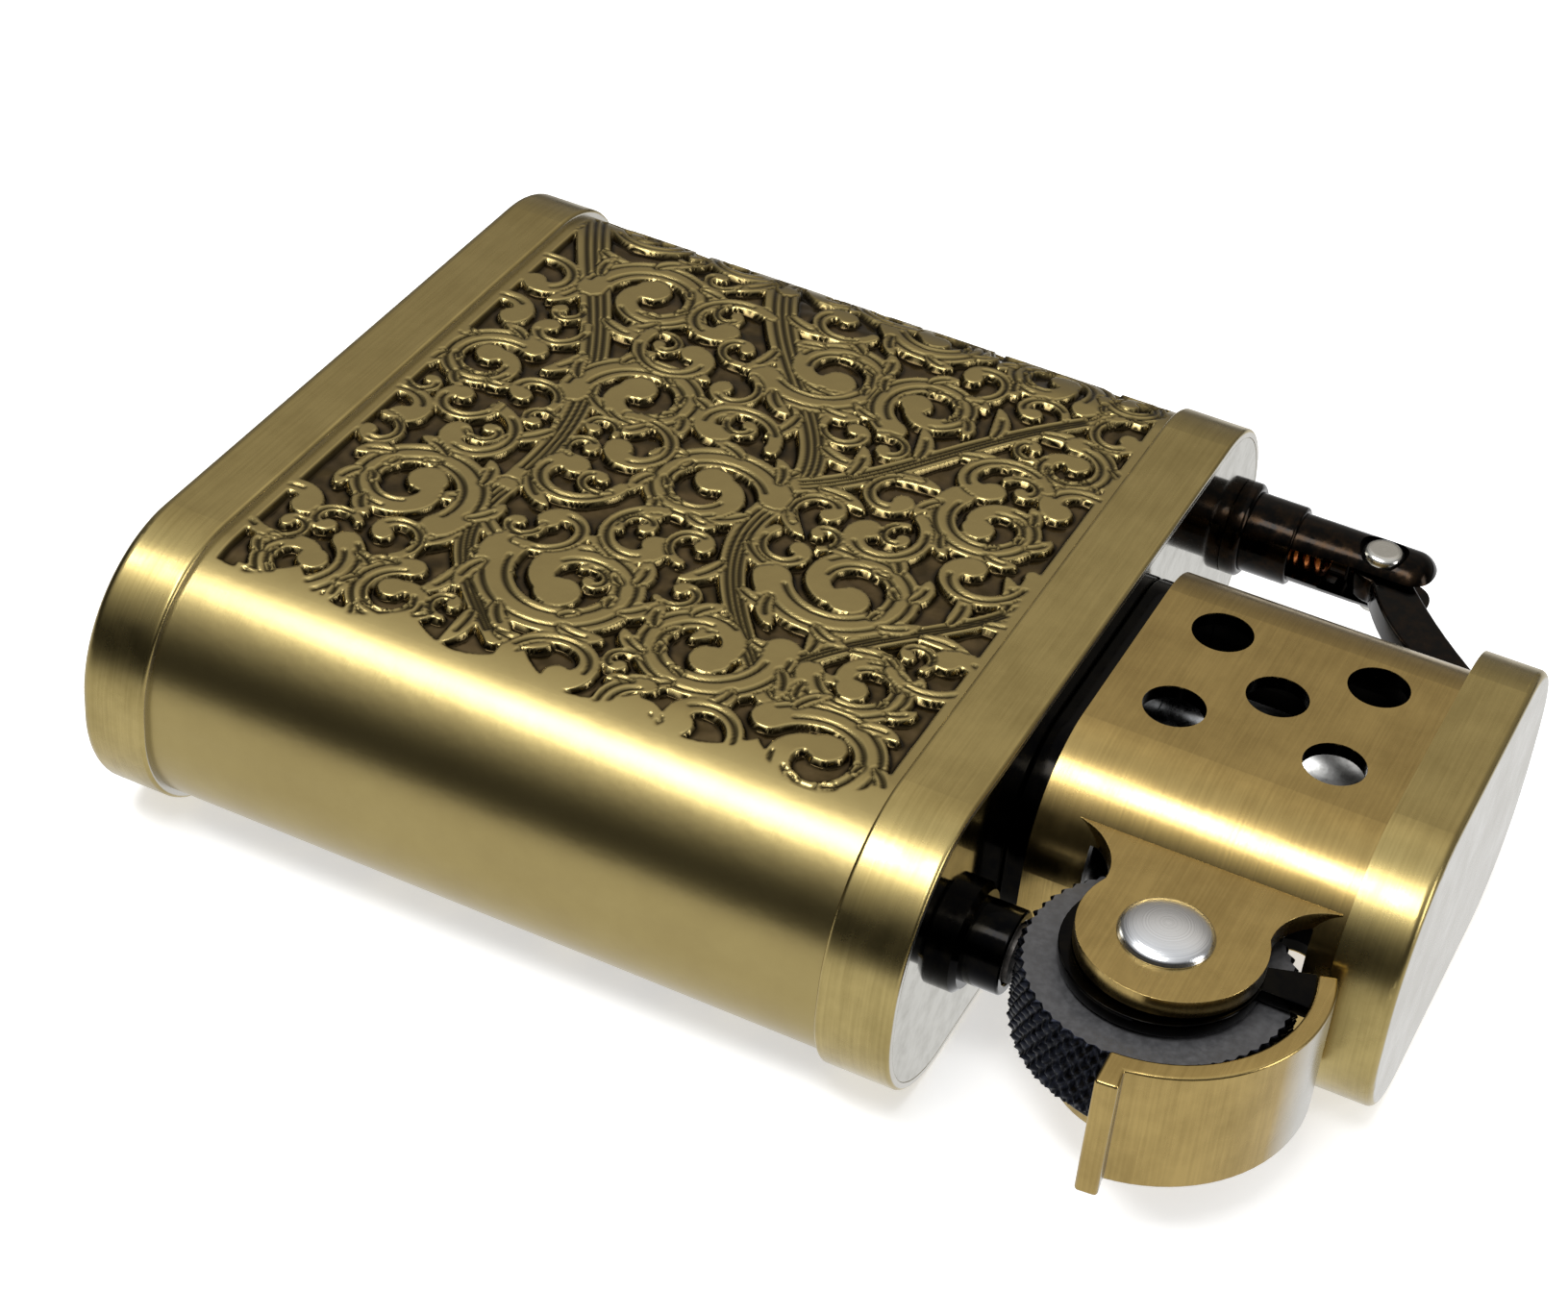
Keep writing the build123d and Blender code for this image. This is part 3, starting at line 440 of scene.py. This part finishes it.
class ReliefField:
    # leaf: distance to the raised leaves, less than 0 inside; cut: distance to the nearest incised line
    def __init__(self, xs, vs):
        self.xs, self.vs = xs, vs
        self.leaf = np.full((len(xs), len(vs)), 9.0, np.float32)
        self.cut = np.full((len(xs), len(vs)), 9.0, np.float32)

    def stroke(self, kind, line, widths, reach):
        # distance to a tapered line: for each run a-b the foot t = clip((p-a).(b-a) / |b-a|^2, 0, 1),
        # then the least of |p - a - t(b-a)| - (w at the foot) over the runs
        lowX, lowV = line.min(0) - widths.max() - reach
        highX, highV = line.max(0) + widths.max() + reach
        i0, i1 = np.searchsorted(self.xs, (lowX, highX))
        j0, j1 = np.searchsorted(self.vs, (lowV, highV))
        if i1 <= i0 or j1 <= j0:
            return
        gx, gv = self.xs[i0:i1, None, None], self.vs[None, j0:j1, None]
        a, run, grow = line[:-1], np.diff(line, axis=0), np.diff(widths)
        foot = (gx - a[:, 0]) * run[:, 0] + (gv - a[:, 1]) * run[:, 1]
        foot = np.clip(foot / ((run ** 2).sum(1) + 1e-9), 0, 1)
        far = np.hypot(gx - a[:, 0] - foot * run[:, 0], gv - a[:, 1] - foot * run[:, 1])
        far = (far - widths[:-1] - foot * grow).min(-1)
        leaf, cut = self.leaf[i0:i1, j0:j1], self.cut[i0:i1, j0:j1]
        if kind == "leaf":  # a new leaf hides older lines, and its outline is cut into the leaves under it
            outline = np.where(leaf < 0.05, np.minimum(cut, far + 0.02), cut)
            cut[:] = np.where(far < 0, 9.0, outline)
            np.minimum(leaf, far, out=leaf)
        else:
            np.minimum(cut, far, out=cut)


def leafFinger(field, root, heading, length, width, bend):
    # a pointed lobe: heading turns by bend over its length, half-width is 1.9 w t^0.55 (1-t)^0.8
    t = np.linspace(0, 1, 18)
    angle = heading + bend * t
    line = root + np.cumsum(np.stack([np.cos(angle), np.sin(angle)], 1) * length / len(t), 0)
    field.stroke("leaf", line.astype(np.float32), (1.9 * width * t ** 0.55 * (1 - t) ** 0.8).astype(np.float32), 0.5)
    field.stroke("cut", line[1:12].astype(np.float32), np.zeros(11, np.float32), 0.25)


def scrollLeaf(field, x, y, radius, angle, sense, turns):
    t = np.linspace(0, 1, 90)
    line = spiralLine(x, y, radius, angle, sense, turns, t)
    width = radius * (0.235 - 0.11 * t)
    width = np.where(t > 0.93, radius * 0.10 + (t - 0.93) / 0.07 * radius * 0.16, width)
    field.stroke("leaf", line.astype(np.float32), width.astype(np.float32), 0.8)
    step, side = sideOf(line)
    for offset, first, last in ((0.62, 2, 66), (-0.5, 4, 60)):  # two incised lines follow the scroll
        vein = line + side * (width * offset)[:, None]
        field.stroke("cut", vein[first:last].astype(np.float32), np.zeros(last - first, np.float32), 0.25)
    count = int(3 + radius)
    for k in range(count):
        i = int(4 + 58 * k / count)
        out = side[i] * (-sense)
        heading = math.atan2(step[i, 1], step[i, 0])
        lean = -sense * 0.85
        leafFinger(field, line[i] + out * width[i] * 0.3, heading + lean, radius * (0.66 - 0.035 * k),
                   radius * 0.135, sense * 0.95)
        if 1 < k < 5:
            leafFinger(field, line[i] - out * width[i] * 0.4, heading - lean * 0.9, radius * 0.27,
                       radius * 0.09, -sense * 0.9)


def stemLeaf(field, a, b, c, d, w0, w1):
    t = np.linspace(0, 1, 80)
    line = cubicPoint(a, b, c, d, t)
    width = w0 + (w1 - w0) * t
    field.stroke("leaf", line.astype(np.float32), width.astype(np.float32), 0.8)
    step, side = sideOf(line)
    for offset in (-0.45, 0.1, 0.6):
        vein = line + side * (width * offset)[:, None]
        field.stroke("cut", vein[2:-4].astype(np.float32), np.zeros(74, np.float32), 0.25)
    for k, i in enumerate(range(5, 76, 10)):
        hand = 1 if k % 2 else -1
        heading = math.atan2(step[i, 1], step[i, 0]) + hand * 0.45
        leafFinger(field, line[i] + side[i] * hand * width[i] * 0.5, heading, 2.5, 0.42, hand * 0.8)


def fillGaps(field, panel):
    # a small curled bud goes wherever the ground is still wide, widest first
    stepI = 4
    for k in range(70):
        coarse = np.where(panel[::stepI, ::stepI] > 0.75, field.leaf[::stepI, ::stepI], -1)
        i, j = np.unravel_index(np.argmax(coarse), coarse.shape)
        room = min(float(coarse[i, j]), 1.9)
        if room < 0.62:
            break
        x, v = field.xs[i * stepI], field.vs[j * stepI]
        sense = 1 if k % 2 else -1
        t = np.linspace(0, 1, 40)
        r = room * (1.25 - 1.0 * t)
        phi = 1.7 * k + sense * 4.6 * t
        line = np.stack([x + r * np.cos(phi), v + r * np.sin(phi)], 1)
        width = room * (0.13 + 0.16 * t ** 2)
        field.stroke("leaf", line.astype(np.float32), width.astype(np.float32), 2.0)
        field.stroke("cut", line[4:28].astype(np.float32), np.zeros(24, np.float32), 0.25)


def sectionPoint(v, lift):
    # the case's rounded section unrolled: v runs round it from the middle of the face; lift is along the normal
    s = np.abs(v)
    fold = s > halfRound / 2
    s = np.where(fold, halfRound - s, s)
    phi = np.clip((s - shell["halfFlat"]) / shell["corner"], 0, math.pi / 2)
    drop = np.clip(s - shell["halfFlat"] - quarter, 0, shell["sideHalf"])
    y = np.minimum(s, shell["halfFlat"]) + (shell["corner"] + lift) * np.sin(phi)
    z = shell["sideHalf"] - drop + (shell["corner"] + lift) * np.cos(phi)
    return np.sign(v) * y, np.where(fold, -z, z)


def makeRelief(xs, vs):
    # lift = -(depth + a slow wave) where the ground is cut away, and -vein depth along each incised line
    field = ReliefField(xs, vs)
    edgeX = np.minimum(xs - shell["panelStart"], shell["panelEnd"] - xs)
    edgeV = np.minimum(vs + shell["nearEdge"], shell["farEdge"] - vs)
    # the near and far edges of the panel run in scallops, not straight: |sin| along the case
    scallop = shell["scallop"] * np.abs(np.sin(math.pi * (xs - shell["scallopFrom"]) / shell["scallopStep"])) ** 0.8
    panel = np.minimum(edgeX[:, None], edgeV[None, :] - shell["scallop"] + scallop[:, None])
    for stem in stems:
        stemLeaf(field, *stem)
    for scroll in scrolls:
        scrollLeaf(field, *scroll)
    fillGaps(field, panel)
    # the ground stops short of the panel's edge, and a plain rim is left
    leaf = np.minimum(field.leaf - shell["swell"], panel - 0.16)
    inside = smooth(-0.1, 0.1, panel)
    raised = 1 - smooth(0.0, shell["wall"], leaf)
    vein = (1 - smooth(0.035, shell["vein"] + 0.075, field.cut)) * raised * inside
    # foot: painted shade with some dark patina, along the ground just outside each leaf's wall
    foot = smooth(0.0, 0.05, leaf) * (1 - smooth(0.10, 0.34, leaf))
    wave = 0.03 * np.sin(xs[:, None] * 2.3 + np.sin(vs * 1.9)) * np.cos(vs[None, :] * 2.7 + np.sin(xs[:, None] * 1.4))
    lift = -(shell["depth"] + wave) * (1 - raised) - shell["veinDepth"] * vein
    softEdge = 0.008 * smooth(-0.05, 0.0, leaf) * raised * inside
    inkAndShade = np.clip(0.95 * vein + 0.9 * foot, 0, 1)
    return lift - softEdge, raised, inkAndShade


def shellStrip(name, xs, vs, lift, raised, inkAndShade, flip):
    # (x, v) -> (x, section(v) moved out by lift); flip turns it half round the case's own axis
    gx, gv = np.meshgrid(xs, vs, indexing="ij")
    y, z = sectionPoint(gv, lift)
    if flip:
        y, z = -y, -z
    points = np.stack([gx, y, z], -1)
    return gridMesh(name, points, attributes={"relief": raised, "inkAndShade": inkAndShade})


margin, pitch = shell["margin"], shell["pitch"]
panelX = np.arange(shell["panelStart"] - margin, shell["panelEnd"] + margin + pitch / 2, pitch)
panelV = np.arange(-shell["nearEdge"] - margin, shell["farEdge"] + margin + pitch / 2, pitch)
lift, raised, inkAndShade = makeRelief(panelX, panelV)
cuts = np.linspace(0, len(panelX) - 1, 4).astype(int)
made = []
for side, flip in (("front", False), ("back", True)):
    for k in range(3):
        part = slice(cuts[k], cuts[k + 1] + 1)
        strip = shellStrip(f"engraved_{side}_{k + 1}", panelX[part], panelV,
                           lift[part], raised[part], inkAndShade[part], flip)
        made.append(dress(strip, engraved))


def plainStrip(name, xs, vs, flip):
    flat = np.zeros((len(xs), len(vs)))
    thing = shellStrip(name, xs, vs, flat, flat + 1, flat, flip)
    made.append(dress(thing, engraved))


# plain rims at both ends of each panel, and the plain sides between the two panels
for side, flip in (("front", False), ("back", True)):
    plainStrip(f"shell_{side}_low_rim", np.array([shell["start"], panelX[0]]), panelV, flip)
    plainStrip(f"shell_{side}_top_rim", np.array([panelX[-1], shell["end"]]), panelV, flip)
wholeX = np.linspace(shell["start"], shell["end"], 60)
plainStrip("shell_near_side", wholeX, np.linspace(-(halfRound - panelV[-1]), panelV[0], 120), False)
plainStrip("shell_far_side", wholeX, np.linspace(panelV[-1], halfRound + panelV[0], 120), False)
for thing in made:
    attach(thing, "case")
    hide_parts("tank_shell")
print("engraved shell made")

# the flint wheel, in mm
wheel = {"x": 44.1, "y": -13.7, "radius": 5.45, "low": -1.35, "high": 2.05, "bore": 1.05, "recess": 2.7,
         "recessDepth": 0.95, "hub": 3.0, "face": 4.0, "shoulder": 4.9, "rim": 5.25, "chamfer": 0.12, "teeth": 58,
         "lead": 1.1, "knurlDepth": 0.30, "rimDepth": 0.10, "columnsPerTooth": 14, "treadRows": 34}


def knurledWheel():
    # rings of (radius, z, kind) run bore, back face, tread, front face, recess and back to the bore;
    # on the tread r = R - depth (1 - knurl), and on the rim r is notched once per tooth
    teeth, lead, bottom, top = wheel["teeth"], wheel["lead"], wheel["low"], wheel["high"]
    count = teeth * wheel["columnsPerTooth"]
    theta = np.linspace(0, 2 * math.pi, count, endpoint=False)
    sunk = top - wheel["recessDepth"]
    rows = [(wheel["bore"], bottom, 0), (wheel["hub"], bottom, 0), (wheel["shoulder"], bottom, 0.3),
            (wheel["rim"], bottom, 1)]
    rows += [(wheel["radius"], z, 2)
             for z in np.linspace(bottom + wheel["chamfer"], top - wheel["chamfer"], wheel["treadRows"])]
    rows += [(wheel["rim"], top, 1), (wheel["shoulder"], top, 0.3), (wheel["face"], top, 0), (wheel["recess"], top, 0),
             (wheel["recess"], sunk, 0), (wheel["bore"], sunk, 0), (wheel["bore"], bottom, 0)]
    radius = np.array([r for r, z, k in rows])[:, None] + 0 * theta
    z = np.array([z for r, z, k in rows])[:, None] + 0 * theta
    kind = np.array([k for r, z, k in rows])[:, None]
    # tread: two crossing sets of saw lines leave small pyramids; the rim is notched once per tooth
    a = np.abs(((theta * teeth / (2 * math.pi) + z * lead) % 1) - 0.5) * 2
    b = np.abs(((theta * teeth / (2 * math.pi) - z * lead) % 1) - 0.5) * 2
    pit = np.sin(theta * 23 + z * 7) * np.sin(theta * 61 - z * 11)
    knurl = np.minimum(a, b) * 0.75 + 0.25 * (a + b) / 2 + 0.12 * pit
    radius = np.where(kind == 2, radius - wheel["knurlDepth"] * (1 - np.clip(knurl, 0, 1)), radius)
    notch = np.abs(((theta * teeth / (2 * math.pi)) % 1) - 0.5) * 2
    radius = np.where(kind == 1, radius - wheel["rimDepth"] * (1 - notch) * 1.2, radius)
    points = np.stack([wheel["x"] + radius * np.cos(theta), wheel["y"] + radius * np.sin(theta), z], -1)
    thing = gridMesh("flint_wheel_knurled", points, closeV=True)
    thing.data.materials.append(wheelSteel)
    thing.data.materials.append(knurlSteel)
    cells = np.repeat(((kind[:-1, 0] == 2) | (kind[1:, 0] == 2)).astype(np.int32), count)
    thing.data.polygons.foreach_set("material_index", cells)
    faceRows = np.repeat(((kind[:-1, 0] < 2) & (kind[1:, 0] < 2)), count)
    thing.data.polygons.foreach_set("use_smooth", ~faceRows)
    faceOutwards(thing)
    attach(thing, "wheel")
    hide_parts("flint_wheel")
    return thing


knurledWheel()


def turnedPiece(name, centre, profile, sides, material, body, replaced):
    # a profile of (radius, z) turned round an axis along Z
    theta = np.linspace(0, 2 * math.pi, sides, endpoint=False)
    profile = np.array(profile, float)
    r, z = profile[:, :1], profile[:, 1:]
    points = np.stack([centre[0] + r * np.cos(theta), centre[1] + r * np.sin(theta), z + 0 * theta], -1)
    thing = gridMesh(name, points, closeV=True)
    faceOutwards(thing)
    dress(thing, material)
    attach(thing, body)
    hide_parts(*replaced)
    return thing


def domeProfile(radius, base, height, steps=14):
    # a shallow dome: z = base + height * sqrt(1 - (r / radius)^2)
    s = np.linspace(0, math.pi / 2, steps)
    return [(max(radius * math.cos(a), 0.002), base + height * math.sin(a)) for a in s]


rivet = {"x": 44.1, "y": -13.7, "shaft": 1.0, "head": 1.88, "seat": 3.73, "rise": 0.64, "tail": 1.58,
         "tailRise": 0.38, "lip": 0.06, "lipTop": 0.08, "lipIn": 0.02, "sides": 96}
profile = [(r, -z) for r, z in domeProfile(rivet["tail"], rivet["seat"], rivet["tailRise"])][::-1]
profile += [(rivet["shaft"], -rivet["seat"]), (rivet["shaft"], rivet["seat"])]
profile += [(rivet["head"], rivet["seat"]), (rivet["head"], rivet["seat"] + rivet["lip"])]
profile += domeProfile(rivet["head"] - rivet["lipIn"], rivet["seat"] + rivet["lipTop"], rivet["rise"] - rivet["lipTop"])
turnedPiece("wheel_rivet", (rivet["x"], rivet["y"]), profile, rivet["sides"], rivetMetal, "case",
            ["wheel_axle"])
print("wheel and rivet made")

# CAD pieces whose edges are rounded over, by how many mm, then a finish for every CAD piece
softWidth = {"wheel_ear_front": 0.20, "wheel_ear_back": 0.20, "trigger_cover": 0.13, "deck_plate": 0.05,
             "cap_arm": 0.16, "trigger_cheek_front": 0.06, "trigger_cheek_back": 0.06,
             "snuffer_cup": 0.08, "burner_base": 0.15, "hinge_ferrule": 0.05}
softened = {name: softenedCopy(name, width) for name, width in softWidth.items()}
finishes = {
    satinBrass: ("base_cup", "collar", "cap_shell"),
    wornBrass: ("wheel_ear_front", "wheel_ear_back", "trigger_cover"),
    snufferMetal: ("snuffer_cup",),
    insideShadedBrass: ("chimney",),
    deckBrass: ("deck_plate", "flint_plunger"),
    blackSteel: ("cap_arm", "hinge_post", "hinge_ferrule", "pawl", "hinge_plunger"),
    # trigger cheeks: near black, which partly paints the shade in the gap under each ear
    deepBlack: ("trigger_cheek_front", "trigger_cheek_back", "flint_tube", "flint_ferrule", "burner_base",
                "cap_liner"),
    wheelSteel: ("ratchet_wheel",),
    brightSteel: ("pawl_pin", "flint_screw", "filler_screw", "wick_tube"),
    pinMetal: ("hinge_pin",),
    copperWire: ("hinge_spring",),
    springWire: ("flint_spring", "trigger_spring"),
    packingCotton: ("base_felt", "fuel_packing", "snuffer_pad"),
    wickCotton: ("wick",),
    gasketRubber: ("filler_gasket",),
    flintAlloy: ("flint",),
}
for material, names in finishes.items():
    for name in names:
        thing = softened.get(name, nodes[name])
        thing.data.materials.clear()
        thing.data.materials.append(material)
print("finishes given")

# floor, light and camera, in metres
studio = {"floor": "#f4f4f4", "reach": 3.0, "paperGlow": 0.55, "fallFrom": 0.04, "fallTo": 0.13,
          "nearInMetal": 0.95, "farInMetal": 0.06, "middleX": 0.027}
floorZ = cadBox[0][2]
floorMesh = bpy.data.meshes.new("studio_floor")
reach = studio["reach"]
corners = [(-reach, -reach, floorZ), (reach, -reach, floorZ), (reach, reach, floorZ), (-reach, reach, floorZ)]
floorMesh.from_pydata(corners, [], [(0, 1, 2, 3)])
floor = bpy.data.objects.new("studio_floor", floorMesh)
bpy.context.scene.collection.objects.link(floor)
floorPaper, tree = newMaterial("white paper sweep")
# seen straight on it is white; in metal it is white close by and falls off to the dark room
place = addNode(tree, "ShaderNodeTexCoord")
paths = addNode(tree, "ShaderNodeLightPath")
spread = addNode(tree, "ShaderNodeVectorMath", {"operation": "DISTANCE"}, {
    0: place.outputs["Object"], 1: (studio["middleX"], 0.0, floorZ)})
falloff = addNode(tree, "ShaderNodeMapRange", {"interpolation_type": "SMOOTHSTEP"}, {
    "Value": spread.outputs["Value"], "From Min": studio["fallFrom"], "From Max": studio["fallTo"],
    "To Min": studio["nearInMetal"], "To Max": studio["farInMetal"]})
mirrored = addNode(tree, "ShaderNodeMath", {"operation": "MAXIMUM"}, {
    0: paths.outputs["Is Glossy Ray"], 1: paths.outputs["Is Transmission Ray"]})
glow = addNode(tree, "ShaderNodeMath", {"operation": "MULTIPLY"}, {
    0: paths.outputs["Is Camera Ray"], 1: studio["paperGlow"]})
paperGlow = addNode(tree, "ShaderNodeEmission", inputs={"Color": (1, 1, 1, 1), "Strength": glow.outputs[0]})
metalGlow = addNode(tree, "ShaderNodeEmission", inputs={"Color": (1, 1, 1, 1), "Strength": falloff.outputs[0]})
paper = addNode(tree, "ShaderNodeBsdfDiffuse", inputs={"Color": fromHex(studio["floor"])})
lit = addNode(tree, "ShaderNodeAddShader", inputs={0: paper.outputs[0], 1: paperGlow.outputs[0]})
both = addNode(tree, "ShaderNodeMixShader", inputs={
    0: mirrored.outputs[0], 1: lit.outputs[0], 2: metalGlow.outputs[0]})
closeMaterial(tree, both)
floorMesh.materials.append(floorPaper)

world = bpy.data.worlds.new("studio")
bpy.context.scene.world = world
world.use_nodes = True
tree = world.node_tree
tree.nodes.clear()
place = addNode(tree, "ShaderNodeTexCoord")
split = addNode(tree, "ShaderNodeSeparateXYZ", inputs={0: place.outputs["Generated"]})
# dark round the horizon on the near side, a mid tone behind the case, bright overhead
risen = addNode(tree, "ShaderNodeMapRange", {"interpolation_type": "SMOOTHSTEP"}, {
    "Value": split.outputs["Z"], "From Min": 0.38, "From Max": 0.95, "To Min": 0.015, "To Max": 0.80})
farSide = addNode(tree, "ShaderNodeMapRange", {"interpolation_type": "SMOOTHSTEP"}, {
    "Value": split.outputs["Y"], "From Min": 0.1, "From Max": 0.8, "To Min": 0.0, "To Max": 0.30})
room = addNode(tree, "ShaderNodeMath", {"operation": "ADD"}, {0: risen.outputs[0], 1: farSide.outputs[0]})
paths = addNode(tree, "ShaderNodeLightPath")
level = addNode(tree, "ShaderNodeMix", {"data_type": "FLOAT"}, {
    0: paths.outputs["Is Camera Ray"], 2: room.outputs[0], 3: 1.0})
warmth = addNode(tree, "ShaderNodeMix", {"data_type": "RGBA"}, {
    0: farSide.outputs[0], 6: (1, 1, 1, 1), 7: (1, 0.80, 0.52, 1)})
sky = addNode(tree, "ShaderNodeBackground", inputs={"Color": warmth.outputs[2], "Strength": level.outputs[0]})
output = tree.nodes.new("ShaderNodeOutputWorld")
tree.links.new(sky.outputs[0], output.inputs["Surface"])


def softbox(name, place, aim, size, watts):
    # a rectangular lamp at place, turned so that it faces aim
    lamp = bpy.data.lights.new(name, "AREA")
    lamp.shape = "RECTANGLE"
    lamp.size, lamp.size_y = size
    lamp.energy = watts
    thing = bpy.data.objects.new(name, lamp)
    bpy.context.scene.collection.objects.link(thing)
    thing.location = place
    thing.rotation_mode = "QUATERNION"
    thing.rotation_quaternion = (Vector(place) - Vector(aim)).to_track_quat("Z", "Y")
    return thing


middle = (0.028, 0.0, 0.0)
softbox("overhead softbox", (-0.05, -0.15, 0.40), middle, (0.34, 0.10), 1.5)
softbox("side softbox", (0.55, 0.05, 0.16), middle, (0.14, 0.30), 0.9)

view = {"place": (0.06592, -0.10659, 0.08898), "right": (0.90255, 0.41917, 0.09846),
        "up": (-0.32715, 0.51891, 0.78975),
        "lens": 78.16, "shift": (-0.0582, -0.0284)}
camera = bpy.data.cameras.new("camera")
camera.lens = view["lens"]
camera.sensor_width = 36
camera.shift_x, camera.shift_y = view["shift"]
camera.clip_start, camera.clip_end = 0.005, 20
cameraObject = bpy.data.objects.new("camera", camera)
bpy.context.scene.collection.objects.link(cameraObject)
right, up = Vector(view["right"]), Vector(view["up"])
turn = Matrix((right, up, right.cross(up))).transposed().to_4x4()
cameraObject.matrix_world = Matrix.Translation(Vector(view["place"])) @ turn
bpy.context.scene.camera = cameraObject
bpy.context.scene.view_settings.view_transform = "Standard"
print("studio ready")
